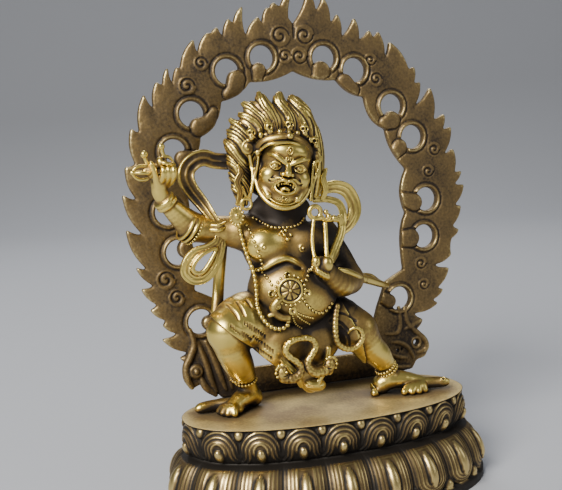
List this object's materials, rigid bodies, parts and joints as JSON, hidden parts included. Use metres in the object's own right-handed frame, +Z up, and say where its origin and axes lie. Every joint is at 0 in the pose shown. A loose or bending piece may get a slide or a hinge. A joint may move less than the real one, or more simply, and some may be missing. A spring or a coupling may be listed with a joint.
{
  "type": "vajrapani statue",
  "caption": "Small cast brass statue of a wrathful guardian deity in a striding stance, on an oval lotus base, with an upright flame aureole behind it.",
  "frame": {"origin": "centre of the lotus base's flat underside", "axes": "+Z up, the figure faces -Y, +X to the figure's left, which is the viewer's right"},
  "size_m": [0.1645, 0.0842, 0.2163],
  "materials": {
    "base_brass": "dark aged brass, petal ridges worn bright, top worn to a satin tan",
    "figure_brass": "polished pale gold on the high places, dark brown patina in the hollows",
    "aureole_brass": "matte brown-gold aged brass with orange-brown areas and small dark pits"
  },
  "bodies": {
    "root": {"lotus_base": "base_brass", "vajrapani_figure": "figure_brass", "flame_aureole": "aureole_brass"}
  },
  "joints": []
}
